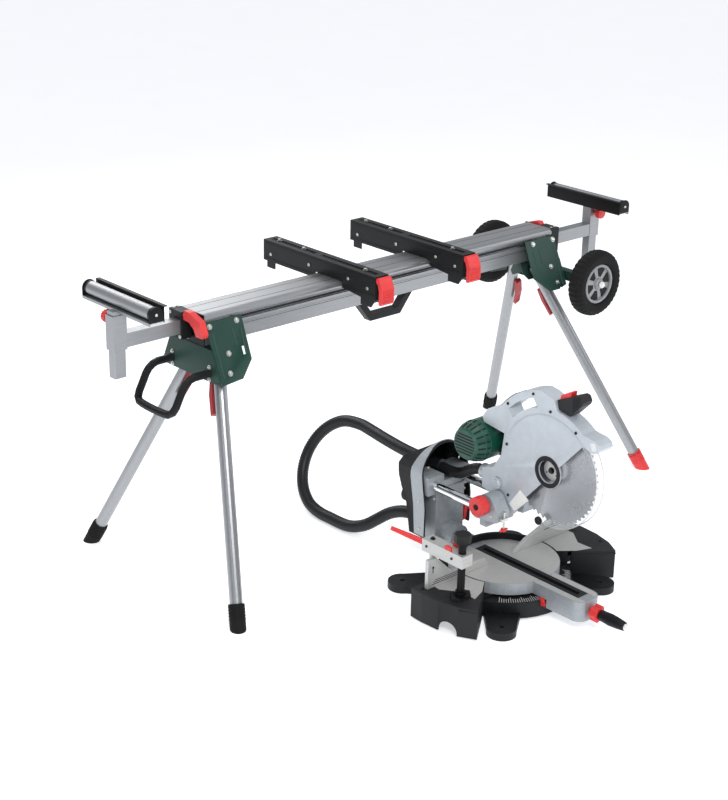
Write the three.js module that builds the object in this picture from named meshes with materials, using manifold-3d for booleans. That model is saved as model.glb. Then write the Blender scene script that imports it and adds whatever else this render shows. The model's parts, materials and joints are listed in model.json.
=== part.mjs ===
// Sliding mitre saw with its folding leg stand. Millimetres, +Z up, X along the stand's rail,
// -Y towards the person using the saw, floor at z = 0.
import * as THREE from 'three';
import { mergeVertices } from 'three/addons/utils/BufferGeometryUtils.js';
import Module from 'manifold-3d';

const wasm = await Module();
wasm.setup();

// ---------------------------------------------------------------- driving dimensions: stand
const GAP = 0.4;                 // running gap between neighbouring pieces
const RAIL = { left: -774, right: 706, top: 840, bottom: 745, half: 62 };
const RAIL_MID = (RAIL.left + RAIL.right) / 2;
const CHAMBER = { y0: 5, y1: 46, z0: 770, z1: 818 };
const TUBE = { y0: 7, y1: 43, z0: 773, z1: 815, wall: 2.5 };
const POST = { x: -1018, y: 25, bottom: 684, cradle: 884 };
const SLEEVE = { hx: 23, hy: 19, bottom: 768, top: 872 };
const ROLLER = { x: -997, z: 908, r: 20, half: 160 };
const SPLAY = 0.454;             // outward slope of the bracket plates, y per z
const PLATE_TOP = { y: 62.6, z: 821 };
const PIVOT = { inset: 56, y: 50, z: 700 };
const LEG_R = 19;
const FOOT = { r: 24, y: 377, left: -907, right: 906 };
const ARM = { width: 54, front: -214, back: 318, top: 889, left: -224, right: 148 };
const WHEEL = { x: 735, z: 686, y: 240, r: 113, width: 60, rim: 68 };

// ---------------------------------------------------------------- driving dimensions: saw
const SAW_AT = { x: -130, y: -856 };  // blade plane and blade centre, in the stand's frame
const SAW_SCALE = 1.05;               // drawn round a 315 mm blade, then sized up to suit the stand
const BLADE = { z: 425, r: 157.5 };
const TABLE = { y: 165, z: 92, r: 160, ring: 203 };
const HEAD_PIVOT = { y: 172, z: 285 };
const SLIDE = { x: 60, z: 255, r: 14, front: 215, back: 505 };
const GUARD = { half: 26, wall: 5, cavity: 171 };
const MOTOR = { y: 263, z: 436, r: 60, near: -82, far: 140 };
const CLAMP = { x: -265, y: 78, rod: 192 };
const HOSE_R = 19;
const HOSE_PORT = { centre: [-40, 122], face: 490 };  // where the hose comes back to the hood

// ---------------------------------------------------------------- finishes
function finish(color, roughness, metalness) {
  return new THREE.MeshStandardMaterial({ color, roughness, metalness });
}
const aluminium = finish(0xb4b6b8, 0.4, 0.9);
const greenPaint = finish(0x1d3f38, 0.5, 0.2);
const blackPaint = finish(0x1b1d1d, 0.55, 0.2);
const blackPlastic = finish(0x24272b, 0.6, 0);
const redPlastic = finish(0xe23a3a, 0.45, 0);
const darkRed = finish(0xa62530, 0.5, 0);
const rubber = finish(0x141414, 0.9, 0);
const greyPlastic = finish(0x8d9091, 0.5, 0);
const silverPaint = finish(0xccd0d4, 0.4, 0.3);
const castGrey = finish(0x8f979b, 0.5, 0.5);
const machined = finish(0xb9b9b2, 0.35, 0.9);
const chrome = finish(0xe6e8ea, 0.08, 1);
const bladeSteel = finish(0xb5b7bc, 0.25, 1);
const clearPlastic = finish(0xd8dee4, 0.15, 0);
const motorGreen = finish(0x16543f, 0.45, 0);

// ---------------------------------------------------------------- geometry helpers
function toSolid(geometry) {
  const plain = geometry.clone();
  plain.deleteAttribute('normal');
  plain.deleteAttribute('uv');
  const merged = mergeVertices(plain, 1e-4);
  return new wasm.Manifold(new wasm.Mesh({
    numProp: 3,
    vertProperties: new Float32Array(merged.attributes.position.array),
    triVerts: new Uint32Array(merged.index.array),
  }));
}

function toGeometry(solid) {
  const mesh = solid.getMesh();
  const geometry = new THREE.BufferGeometry();
  geometry.setAttribute('position', new THREE.BufferAttribute(mesh.vertProperties, 3));
  geometry.setIndex(new THREE.BufferAttribute(mesh.triVerts, 1));
  geometry.computeVertexNormals();
  return geometry;
}

function join(...pieces) {
  return toGeometry(pieces.map(toSolid).reduce((sum, next) => sum.add(next)));
}

function cut(base, ...tools) {
  return toGeometry(tools.map(toSolid).reduce((rest, tool) => rest.subtract(tool), toSolid(base)));
}

function common(a, b) {
  return toGeometry(toSolid(a).intersect(toSolid(b)));
}

function box([x0, x1], [y0, y1], [z0, z1]) {
  const geometry = new THREE.BoxGeometry(x1 - x0, y1 - y0, z1 - z0);
  return geometry.translate((x0 + x1) / 2, (y0 + y1) / 2, (z0 + z1) / 2);
}

// Extrudes an outline along an axis. Outlines are (y, z) for 'x', (x, z) for 'y' and (x, y) for 'z'.
function prism(axis, outline, from, to) {
  const shape = new THREE.Shape(outline.map(([u, v]) => new THREE.Vector2(u, v)));
  const geometry = new THREE.ExtrudeGeometry(shape, { depth: to - from, bevelEnabled: false });
  const turn = new THREE.Matrix4();
  if (axis === 'x') turn.set(0, 0, 1, from, 1, 0, 0, 0, 0, 1, 0, 0, 0, 0, 0, 1);
  if (axis === 'y') turn.set(1, 0, 0, 0, 0, 0, -1, to, 0, 1, 0, 0, 0, 0, 0, 1);
  if (axis === 'z') turn.makeTranslation(0, 0, from);
  return geometry.applyMatrix4(turn);
}

// Points on an arc, angles in degrees from the first axis of the outline's plane.
function arc(u, v, r, from, to, steps) {
  return Array.from({ length: steps + 1 }, (_, i) => {
    const angle = THREE.MathUtils.degToRad(from + ((to - from) * i) / steps);
    return [u + r * Math.cos(angle), v + r * Math.sin(angle)];
  });
}

function mirrored(outline) {
  return outline.map(([u, v]) => [-u, v]).reverse();
}

// Solid of revolution about an axis through (a, b); the profile holds (radius, along) pairs.
function lathe(axis, profile, [a, b], segments = 32) {
  const points = profile.map(([r, h]) => new THREE.Vector2(r, h));
  const geometry = new THREE.LatheGeometry(points, segments);
  if (axis === 'x') geometry.rotateZ(-Math.PI / 2).translate(0, a, b);
  if (axis === 'y') geometry.translate(a, 0, b);
  if (axis === 'z') geometry.rotateX(Math.PI / 2).translate(a, b, 0);
  return geometry;
}

function disc(axis, centre, r, from, to, segments = 32) {
  return lathe(axis, [[0, from], [r, from], [r, to], [0, to]], centre, segments);
}

function rod(start, end, r0, r1 = r0, segments = 20) {
  const a = new THREE.Vector3(...start);
  const b = new THREE.Vector3(...end);
  const along = b.clone().sub(a);
  const geometry = new THREE.CylinderGeometry(r1, r0, along.length(), segments);
  const turn = new THREE.Quaternion().setFromUnitVectors(new THREE.Vector3(0, 1, 0), along.normalize());
  return geometry.applyQuaternion(turn).translate(...a.add(b).multiplyScalar(0.5).toArray());
}

function tube(points, r, sides, steps) {
  const path = new THREE.CatmullRomCurve3(points.map((p) => new THREE.Vector3(...p)), false, 'centripetal');
  const ring = arc(0, 0, r, 0, 360, sides).slice(0, -1);
  const section = new THREE.Shape(ring.map(([u, v]) => new THREE.Vector2(u, v)));
  return new THREE.ExtrudeGeometry(section, { steps, extrudePath: path, bevelEnabled: false });
}

// Moves each edge of a closed outline inwards by a distance.
function inset(outline, distance) {
  const n = outline.length;
  const area = outline.reduce((sum, [u, v], i) => {
    const [nextU, nextV] = outline[(i + 1) % n];
    return sum + u * nextV - nextU * v;
  }, 0);
  const d = distance * Math.sign(area);
  return outline.map((point, i) => {
    const [ax, ay] = outline[(i + n - 1) % n];
    const [bx, by] = point;
    const [cx, cy] = outline[(i + 1) % n];
    const l1 = Math.hypot(bx - ax, by - ay);
    const l2 = Math.hypot(cx - bx, cy - by);
    const n1 = [-(by - ay) / l1, (bx - ax) / l1];
    const n2 = [-(cy - by) / l2, (cx - bx) / l2];
    const scale = d / (1 + n1[0] * n2[0] + n1[1] * n2[1]);
    return [bx + (n1[0] + n2[0]) * scale, by + (n1[1] + n2[1]) * scale];
  });
}

function part(name, geometry, material) {
  const mesh = new THREE.Mesh(geometry, material);
  mesh.name = name;
  return mesh;
}

// The stand's right end is its left end turned half round the rail's middle.
function turned(geometry) {
  return geometry.clone().rotateZ(Math.PI).translate(2 * RAIL_MID, 0, 0);
}

// ---------------------------------------------------------------- stand: rail and end pieces
function rail() {
  const side = [
    ...arc(48, 826, 14, 90, -90, 8),
    [50, 812], [50, 800], [56, 800], [56, RAIL.bottom],
  ];
  const outline = [...side, ...side.map(([y, z]) => [-y, z]).reverse()].reverse();
  const { y0, y1, z0, z1 } = CHAMBER;
  const chambers = [
    [[y0, y1], [z0, z1]], [[-y1, -y0], [z0, z1]],
    [[-44, 44], [824, 834]], [[-50, 50], [751, 764]],
  ];
  return cut(
    prism('x', outline, RAIL.left, RAIL.right),
    ...chambers.map(([across, up]) => box([RAIL.left - 1, RAIL.right + 1], across, up)),
  );
}

function endClamp() {
  const outer = RAIL.left - 36;
  const inner = RAIL.left - GAP;
  const block = box([outer, inner], [1, 62], [757, RAIL.top]);
  const cap = box([inner - 4, inner], [-RAIL.half, 10], [RAIL.bottom, RAIL.top]);
  const way = box([outer - 1, inner + 1], [TUBE.y0 - GAP, TUBE.y1 + GAP], [TUBE.z0 - GAP, TUBE.z1 + GAP]);
  const frontWay = box([outer - 1, inner + 1], [-CHAMBER.y1, -CHAMBER.y0], [CHAMBER.z0, CHAMBER.z1]);
  return cut(join(block, cap), way, frontWay);
}

function extensionLever() {
  const outline = [[-2, 836], [-10, 848], [-30, 846], [-80, 829], [-96, 792], [-91, 782], [-62, 781],
    [-52, 800], [-30, 816], [-2, 818]];
  return prism('x', outline.reverse(), RAIL.left - 32, RAIL.left - 12);
}

// ---------------------------------------------------------------- stand: folding leg brackets
function plateY(z) {
  return PLATE_TOP.y + (PLATE_TOP.z - z) * SPLAY;
}

// A flat sheet whose outline is given in (x, z) and which leans outwards towards the bottom.
function leaningPlate(outline, side, offset, thickness) {
  const geometry = prism('y', outline, 0, thickness);
  const position = geometry.attributes.position;
  for (let i = 0; i < position.count; i += 1) {
    const y = position.getY(i) + offset + plateY(position.getZ(i));
    position.setY(i, side * y);
  }
  if (side < 0) {
    const flipped = geometry.index ? geometry.toNonIndexed() : geometry;
    const p = flipped.attributes.position;
    for (let i = 0; i < p.count; i += 3) {
      const [x, y, z] = [p.getX(i), p.getY(i), p.getZ(i)];
      p.setXYZ(i, p.getX(i + 1), p.getY(i + 1), p.getZ(i + 1));
      p.setXYZ(i + 1, x, y, z);
    }
    return flipped;
  }
  return geometry;
}

function legBracket() {
  const end = RAIL.left - 2;
  const sheet = 4;
  const top = 818;
  const front = [[end, 646], [-698, 652], [-650, 697], [-646, top], [end, top]];
  const back = [[-742, 652], [-690, 653], [-633, 701], [-634, top], [end, top], [end, 700]];
  const spine = [[end, 668], [-696, 668], [-676, 690], [-676, RAIL.bottom - GAP], [end, RAIL.bottom - GAP]];
  const endPlate = [[-137.5, 660], [-120, 645], [120, 645], [137.5, 660], [99.5, 744], [-99.5, 744]];
  const slot = [[-674, 712], [-662, 712], [-662, 736], [-674, 736]];
  const spineShift = -(PLATE_TOP.y + (PLATE_TOP.z - PIVOT.z) * SPLAY) + 22;
  const spacers = [-766, -668].flatMap((x) => [-1, 1].map((side) => (
    rod([x, side * 50.6, 806], [x, side * 71, 806], 5, 5, 10)
  )));
  return cut(
    join(
      leaningPlate(front, -1, 0, sheet),
      leaningPlate(back, 1, 0, sheet),
      leaningPlate(spine, -1, spineShift, 3),
      leaningPlate(spine, 1, spineShift, 3),
      prism('x', endPlate, end - 4, end + 0.1),
      ...spacers,
    ),
    prism('y', slot, -200, -60),
  );
}

// ---------------------------------------------------------------- stand: legs
function legLine(right, front) {
  const x = right ? RAIL.right - PIVOT.inset : RAIL.left + PIVOT.inset;
  const side = front ? -1 : 1;
  const pivot = new THREE.Vector3(x, side * PIVOT.y, PIVOT.z);
  const foot = new THREE.Vector3(right ? FOOT.right : FOOT.left, side * FOOT.y, 0);
  return { pivot, foot, down: foot.clone().sub(pivot).normalize(), length: foot.distanceTo(pivot) };
}

function alongLeg(line, distance) {
  return line.pivot.clone().addScaledVector(line.down, distance).toArray();
}

function leg(line, adjustable) {
  const tubeEnd = line.length - (adjustable ? 62 : 26);
  const bar = rod(alongLeg(line, -16), alongLeg(line, tubeEnd), LEG_R);
  if (!adjustable) return bar;
  return cut(bar, rod(alongLeg(line, tubeEnd - 60), alongLeg(line, tubeEnd + 5), 8 + GAP, 8 + GAP, 12));
}

function rubberFoot(line) {
  const sleeve = rod(alongLeg(line, line.length - 74), alongLeg(line, line.length + 30), FOOT.r);
  const socket = rod(alongLeg(line, line.length - 80), alongLeg(line, line.length - 26 + GAP), LEG_R + GAP);
  return cut(sleeve, socket, floorBlock(line));
}

function floorBlock(line) {
  const { x, y } = line.foot;
  return box([x - 90, x + 90], [y - 90, y + 90], [-90, 0]);
}

function adjustableFoot(line) {
  const end = line.length - 62;
  const knob = rod(alongLeg(line, end + GAP), alongLeg(line, line.length + 30), FOOT.r - 1);
  const screw = rod(alongLeg(line, end - 50), alongLeg(line, end + 10), 8, 8, 12);
  return cut(join(knob, screw), floorBlock(line));
}

// A squeeze lever lying along the inner side of its leg.
function latch(line, front) {
  const side = front ? 1 : -1;
  const inward = new THREE.Vector3(0, side, 0);
  inward.addScaledVector(line.down, -inward.dot(line.down)).normalize();
  const across = new THREE.Vector3().crossVectors(line.down, inward).normalize();
  const outline = [[62, 21], [76, 20], [120, 30], [168, 30], [172, 40], [110, 42], [66, 33]];
  const geometry = prism('z', outline, -11, 11);
  const frame = new THREE.Matrix4().makeBasis(line.down, inward, across).setPosition(line.pivot);
  return geometry.applyMatrix4(frame);
}

// ---------------------------------------------------------------- stand: work supports
function extension() {
  const inner = 430;
  const { x, y } = POST;
  const sleeveSide = x + SLEEVE.hx;
  const bar = box([sleeveSide - 2, inner], [TUBE.y0, TUBE.y1], [TUBE.z0, TUBE.z1]);
  const hollow = box([sleeveSide + 6, inner + 1], [TUBE.y0 + TUBE.wall, TUBE.y1 - TUBE.wall],
    [TUBE.z0 + TUBE.wall, TUBE.z1 - TUBE.wall]);
  const sleeve = box([x - SLEEVE.hx, sleeveSide], [y - SLEEVE.hy, y + SLEEVE.hy],
    [SLEEVE.bottom, SLEEVE.top]);
  const way = box([x - SLEEVE.hx + 3.5, sleeveSide - 3.5], [y - SLEEVE.hy + 3.5, y + SLEEVE.hy - 3.5],
    [SLEEVE.bottom - 1, SLEEVE.top + 1]);
  return cut(join(bar, sleeve), hollow, way);
}

function supportPost() {
  const { x, y } = POST;
  const reach = ROLLER.half + 6;
  const hx = SLEEVE.hx - 4;
  const hy = SLEEVE.hy - 4;
  const stem = box([x - hx, x + hx], [y - hy, y + hy], [POST.bottom, POST.cradle + 2]);
  const channel = [[-1020, 878], [-1017, 878], [-1017, POST.cradle], [-969, POST.cradle], [-969, 938],
    [-959, 938], [-959, 941], [-972, 941], [-972, POST.cradle + 3], [-1020, POST.cradle + 3]];
  const seat = POST.cradle + 2;
  const cheek = [...arc(ROLLER.x, ROLLER.z, 23, 0, 180, 10), [-1020, seat], [-970, seat]];
  const cheeks = [y - reach, y + reach - 3].map((start) => prism('y', cheek, start, start + 3));
  const axles = [[y - reach, y - ROLLER.half + 6], [y + ROLLER.half - 6, y + reach]].map(([a, b]) => (
    disc('y', [ROLLER.x, ROLLER.z], 6, a, b, 14)
  ));
  return join(stem, prism('y', channel, y - reach, y + reach), ...cheeks, ...axles);
}

function roller() {
  const { y } = POST;
  const body = disc('y', [ROLLER.x, ROLLER.z], ROLLER.r, y - ROLLER.half, y + ROLLER.half, 28);
  const seats = [[-ROLLER.half - 1, -ROLLER.half + 8], [ROLLER.half - 8, ROLLER.half + 1]].map(([a, b]) => (
    disc('y', [ROLLER.x, ROLLER.z], 6 + GAP, y + a, y + b, 14)
  ));
  return cut(body, ...seats);
}

function heightKnob() {
  const face = POST.y + SLEEVE.hy;
  const stem = disc('y', [POST.x, 856], 6, face + GAP, face + 14, 14);
  const grip = disc('y', [POST.x, 856], 17, face + 12, face + 32, 18);
  return join(stem, grip);
}

// ---------------------------------------------------------------- stand: saw arms
function sawArm(x) {
  const half = ARM.width / 2;
  const { front, back, top } = ARM;
  const over = RAIL.top + GAP;
  const outline = [[front, 815], [-196, 790], [-150, 790], [-150, 812], [-64, 821], [-64, over], [64, over],
    [64, 821], [262, 821], [262, 800], [300, 800], [300, 821], [back, 821], [back, top], [front, top]];
  const hollow = box([x - half + 4, x + half - 4], [front + 6, back - 4], [700, top - 4]);
  const slots = [[-190, 60], [95, 300]].map((span) => box([x - 4, x + 4], span, [top - 6, top + 1]));
  return cut(prism('x', outline, x - half, x + half), hollow, ...slots);
}

function armLever(x) {
  const half = ARM.width / 2 - 2;
  const y = ARM.front - 8;
  const outline = [...arc(y, 880, 7, 20, 160, 6), [y - 14, 868], [y - 21, 850], [y - 21, 815], [y - 16, 804],
    [y - 6, 804], [y - 7, 846], [y - 1, 866], [y + 6, 872]];
  return prism('x', outline, x - half, x + half);
}

function railGrip() {
  const x = RAIL_MID + 15;
  const z = RAIL.bottom - GAP;
  const outline = [[x - 130, z], [x - 65, 663], [x + 65, 663], [x + 130, z], [x + 102, z], [x + 55, 686],
    [x - 55, 686], [x - 102, z]];
  return prism('y', outline, -14, 14);
}

function carryHandle() {
  const out = RAIL.left - 6 - 2 * GAP;
  const half = [[out, 90, 672], [-812, 90, 672], [-846, 90, 670], [-870, 90, 654], [-890, 90, 618],
    [-906, 89, 588],
    [-914, 80, 574], [-917, 60, 570]];
  const path = [...half, ...half.map(([x, y, z]) => [x, -y, z]).reverse()];
  return tube(path, 12, 10, 30);
}

// ---------------------------------------------------------------- stand: wheels
function wheelBeam() {
  const face = RAIL.right + 6 + GAP;
  const { x, z } = WHEEL;
  const beam = box([x - 16, x + 16], [-198, 198], [z - 16, z + 16]);
  const tab = [[face, z - 32], [x + 8, z - 24], [x + 8, z + 10], [face, z + 10]];
  const tabs = [-108, -66, 62, 104].map((y) => prism('y', tab, y, y + 4));
  const back = box([face, face + 4], [-110, 110], [z - 32, z + 10]);
  const shaft = disc('y', [x, z], 8, -274, 274, 16);
  return join(beam, back, ...tabs, shaft);
}

function tyre(side) {
  const y = side * WHEEL.y;
  const { r, width, rim } = WHEEL;
  const h = width / 2;
  const profile = [[rim, -h + 8], [rim + 12, -h], [r - 12, -h], [r, -h + 14], [r, h - 14], [r - 12, h],
    [rim + 12, h], [rim, h - 8], [rim, -h + 8]];
  return lathe('y', profile.map(([a, b]) => [a, y + b]), [WHEEL.x, WHEEL.z], 36);
}

function rim(side) {
  const y = side * WHEEL.y;
  const outer = WHEEL.rim - GAP;
  const profile = [[8 + GAP, -26], [17, -26], [17, -7], [outer - 7, -7], [outer - 7, -21], [outer, -21],
    [outer, 21],
    [outer - 7, 21], [outer - 7, 7], [17, 7], [17, 26], [8 + GAP, 26], [8 + GAP, -26]];
  return lathe('y', profile.map(([a, b]) => [a, y + b]), [WHEEL.x, WHEEL.z], 24);
}

// ---------------------------------------------------------------- saw: base and table
function wingOutline() {
  return [
    ...arc(0, TABLE.y, TABLE.r + 2, 171, 204, 5),
    [-193, 61], [-285, -10], [-312, 38], [-328, 100], [-332, 160], [-330, 204], [-170, 204],
  ];
}

function foot(x, y) {
  const angle = THREE.MathUtils.radToDeg(Math.atan2(TABLE.y - y, -x));
  const pad = arc(x, y, 42, angle + 80, angle + 280, 12);
  const inner = Math.atan2(y - TABLE.y, x);
  const root = [inner + 0.3, inner - 0.3].map((angle) => (
    [180 * Math.cos(angle), TABLE.y + 180 * Math.sin(angle)]
  ));
  const low = prism('z', [...pad, ...root], 0, 22);
  return cut(low, disc('z', [x, y], 7, -1, 30, 16));
}

function sawBase() {
  const ring = lathe('z', [[0, 8], [24, 8], [24, 46], [TABLE.ring - 12, 46], [TABLE.ring - 10, 6],
    [TABLE.ring, 6],
    [TABLE.ring - 6, 50], [TABLE.r + 6, 55], [0, 55]], [0, TABLE.y], 40);
  const wing = wingOutline();
  const wings = [wing, mirrored(wing)].map((outline) => (
    cut(prism('z', outline, 4, TABLE.z), prism('z', inset(outline, 6), 0, TABLE.z - 7))
  ));
  const ties = [-1, 1].map((side) => box(side < 0 ? [-300, -150] : [150, 300], [110, 190], [30, 50]));
  const feet = [[-205, -25], [205, -25], [-225, 350], [225, 350]].map(([x, y]) => foot(x, y));
  const openTable = disc('z', [0, TABLE.y], TABLE.r + 2, 55, 100, 48);
  const well = disc('z', [0, TABLE.y], TABLE.ring + 4, 50, 100, 48);
  const scaleWell = cut(well, box([-400, 400], [80, 400], [0, 200]));
  const grips = [[-400, -300], [300, 400]].map(([a, b]) => disc('x', [70, 8], 30, a, b, 20));
  return cut(join(ring, ...wings, ...ties, ...feet), openTable, scaleWell, ...grips);
}

function armOutline(front) {
  return [[45, 60], [45, 270], [-45, 270], [-45, 60], ...arc(-15, front + 30, 30, 180, 270, 5),
    ...arc(15, front + 30, 30, 270, 360, 5)];
}

function turntable() {
  const front = -165;
  const under = 57;
  const plate = disc('z', [0, TABLE.y], TABLE.r, under, TABLE.z, 48);
  const arm = prism('z', armOutline(front), under, TABLE.z);
  const deep = prism('z', [[45, -42], [-45, -42], ...armOutline(front).slice(4)], 32, TABLE.z);
  const tail = box([-46, 46], [250, 345], [under, TABLE.z - 3]);
  const pocket = box([-21, 21], [-134, 262], [TABLE.z - 13, TABLE.z + 1]);
  const trough = box([-10, 10], [-126, 250], [TABLE.z - 28, TABLE.z]);
  return cut(join(plate, arm, deep, tail), pocket, trough);
}

function tableInsert() {
  const strip = box([-20.6, 20.6], [-133.6, 261.6], [TABLE.z - 12.6, TABLE.z]);
  return cut(strip, box([-6, 6], [-118, 246], [TABLE.z - 20, TABLE.z + 1]));
}

function mitreGrip() {
  const z = 60;
  const y = -165 - GAP;
  const profile = [[0, y - 126], [9, y - 124], [13, y - 118], [17, y - 70], [15, y - 38], [15, y - 34],
    [0, y - 34]];
  const points = Array.from({ length: 12 }, (_, i) => {
    const angle = (i * Math.PI) / 6;
    const r = i % 2 ? 19 : 25;
    return [r * Math.cos(angle), z + r * Math.sin(angle)];
  });
  const neck = disc('y', [0, z], 10, y - 12, y, 16);
  return join(prism('y', points, y - 36, y - 8), neck, lathe('y', profile, [0, z], 20));
}

function fence() {
  const face = 166;
  const back = 178;
  const foot0 = TABLE.z + GAP;
  const left = [[-305, foot0], [-62, foot0], [-80, 118], [-210, 118], [-272, 180], [-305, 180]];
  const right = [[40, foot0], [305, foot0], [305, 172], [240, 172], [190, 153], [92, 122]];
  const bow = [...arc(0, TABLE.y, 133, 2, 178, 16), ...arc(0, TABLE.y, 125, 178, 2, 16)];
  return join(prism('y', left, face, back), prism('y', right, face, back), prism('z', bow, foot0, 112));
}

// ---------------------------------------------------------------- saw: tilting column and slide
function tiltColumn() {
  const hub = disc('y', [0, TABLE.z], 35, 346, 394, 28);
  const body = box([-58, 58], [392, 452], [60, 240]);
  const block = box([-86, 86], [396, 468], [228, 284]);
  const ways = [-1, 1].map((side) => disc('y', [side * SLIDE.x, SLIDE.z], SLIDE.r + GAP, 380, 480, 24));
  const hosePass = box([-24, 24], [390, 470], [262, 290]);
  return cut(join(hub, body, block), ...ways, hosePass);
}

function rearHood() {
  const side = [[400, 96], [462, 96], [478, 185], [500, 230], [512, 262], [518, 300], [508, 322], [432, 371],
    [424, 366], [418, 300], [400, 190]];
  const width = 95;
  const arch = (r, z0) => [[r, z0], ...arc(0, 276, r, 0, 180, 14), [-r, z0]];
  const shell = common(prism('x', side, -width, width), prism('y', arch(width, 80), 380, 540));
  const inside = common(
    prism('x', [[380, 80], [457, 80], [473, 187], [495, 232], [507, 263], [513, 300], [504, 317], [430, 365],
      [380, 365]], -90, 90),
    prism('y', arch(90, 70), 370, 540),
  );
  const ways = [-1, 1].map((end) => disc('y', [end * SLIDE.x, SLIDE.z], SLIDE.r + 2, 480, 540, 24));
  const hoseWay = disc('y', [0, 288], HOSE_R + 3, 490, 540, 24);
  const port = disc('y', HOSE_PORT.centre, 25, 455, HOSE_PORT.face, 24);
  const bore = disc('y', HOSE_PORT.centre, 16, 440, HOSE_PORT.face + 1, 24);
  return cut(join(cut(shell, inside), port), ...ways, hoseWay, bore);
}

function tiltLever() {
  const stem = disc('x', [405, 112], 8, 58 + GAP, 76, 16);
  const blade = prism('x', [[397, 108], [413, 108], [408, 160], [396, 172], [388, 166]], 64, 76);
  return join(stem, blade);
}

function slideTube(side) {
  const profile = [[0, SLIDE.front + GAP], [SLIDE.r, SLIDE.front + GAP], [SLIDE.r, SLIDE.back],
    [SLIDE.r - 3, SLIDE.back], [SLIDE.r - 3, SLIDE.front + 20], [0, SLIDE.front + 20]];
  return lathe('y', profile, [side * SLIDE.x, SLIDE.z], 24);
}

function carriage() {
  const { y, z } = HEAD_PIVOT;
  const cheek = [[130, 238], [SLIDE.front, 228], [SLIDE.front, 288], [200, 300], ...arc(y, z, 27, 20, 165, 8),
    [128, 268]];
  const lower = box([-56, 56], [190, SLIDE.front], [198, 214]);
  const cheeks = [[-80, -30], [30, 80]].map(([a, b]) => prism('x', cheek, a, b));
  const legs = [[-56, -30], [30, 56]].map((span) => box(span, [190, SLIDE.front], [198, 240]));
  return join(lower, ...cheeks, ...legs);
}

function slideKnob() {
  const stem = disc('x', [180, 280], 9, -88, -80 - GAP, 16);
  const lobes = Array.from({ length: 24 }, (_, i) => {
    const angle = (i * Math.PI) / 12;
    const r = i % 3 ? 29 : 27;
    return [180 + r * Math.cos(angle), 280 + r * Math.sin(angle)];
  });
  return join(stem, prism('x', lobes, -112, -86));
}

// ---------------------------------------------------------------- saw: cutting head
function upperGuard() {
  const c = BLADE.z;
  const outline = [
    [-116, 538], [166, 219], [209, 291], [241, 299], [245, 358], [202, 372], [174, 420], [166, 486],
    [246, 496],
    [252, 512], [232, 540], ...arc(0, c, 230, 36, 78, 7), [22, 646], [-8, 636], [-20, 611],
    ...arc(0, c, 185, 98, 128, 6), [-134, 568], [-156, 566], [-171, 558], [-176, 547], [-169, 536],
    [-152, 529],
  ];
  const grip = [...arc(0, c, 181, 40, 74, 7), ...arc(0, c, 208, 71, 42, 7)];
  const shell = join(
    prism('x', outline, -GUARD.half, GUARD.half),
    disc('x', [0, c], 46, -GUARD.half, -GUARD.half + GUARD.wall, 36),
    disc('x', [184, 330], 17, -GUARD.half - 5, -GUARD.half + 1, 20),
    disc('y', [0, 335], 16, 240, 262, 20),
  );
  const inner = GUARD.half - GUARD.wall;
  const cavity = disc('x', [0, c], GUARD.cavity, -inner, inner, 56);
  const arbor = disc('x', [0, c], 33, -40, 40, 32);
  const mouth = disc('y', [0, 335], 12.5, 130, 270, 20);
  return cut(shell, cavity, arbor, mouth, prism('x', grip, -40, 40));
}

function motorHousing() {
  const { y, z, r, near, far } = MOTOR;
  const body = lathe('x', [[0, near], [r - 18, near], [r - 13, near + 5], [r - 3, near + 30], [r, near + 46],
    [r, far - 20], [r - 8, far], [0, far]], [y, z], 36);
  const caseOutline = [...arc(0, BLADE.z, 46, 90, 270, 12), ...arc(y, z, 50, 270, 450, 12)];
  const neck = prism('x', caseOutline, GUARD.half + GAP, GUARD.half + 34);
  return join(body, neck);
}

function blade() {
  const flange = 30;
  return lathe('x', [[0, -18], [10, -18], [10, -10], [flange, -8], [flange, -1.5], [BLADE.r, -1.5],
    [BLADE.r, 1.5],
    [flange, 1.5], [flange, 8], [10, 10], [10, GUARD.half], [0, GUARD.half]], [0, BLADE.z], 48);
}

function lowerGuard() {
  const c = BLADE.z;
  const outer = 167;
  const skin = 2.4;
  const profile = [[44, -14], [outer, -14], [outer, 14], [44, 14], [44, 14 - skin], [outer - skin, 14 - skin],
    [outer - skin, -14 + skin], [44, -14 + skin], [44, -14]];
  const bowl = lathe('x', profile, [0, c], 48);
  const sector = prism('x', [[0, c], ...arc(0, c, 320, 125, 281, 10)], -60, 60);
  const lug = disc('x', [28, 267], 11, -20, -14 + skin, 20);
  const lugArm = prism('x', [[24, 276], [34, 270], [30, 258], [6, 262], [8, 276]], -17, -14 + skin);
  return join(common(bowl, sector), lug, lugArm);
}

function headHandle() {
  const outline = [[-13, 638], [-82, 670], [-94, 668], [-101, 655], [-98, 645], [-62, 607], [-24, 612.5],
    [-19, 614.5]];
  const pocket = [[-15, 652], [-57, 672], [-53, 648], [-15, 630]];
  return cut(prism('x', outline, -19, 19), prism('x', pocket, -12.5, 12.5));
}

function trigger() {
  return prism('x', [[-16, 638], [-52, 655], [-54, 669], [-48, 669], [-18, 652]], -11.5, 11.5);
}

// ---------------------------------------------------------------- saw: hold-down clamp and hose
function clampArm() {
  const { x, y, rod: rodY } = CLAMP;
  const bar = box([x - 20, x + 20], [y - 20, rodY + 22], [190, 226]);
  const post = disc('z', [x, rodY], 8, TABLE.z + GAP, 192, 18);
  return cut(join(bar, post), disc('z', [x, y], 11 + GAP, 180, 240, 20));
}

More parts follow.
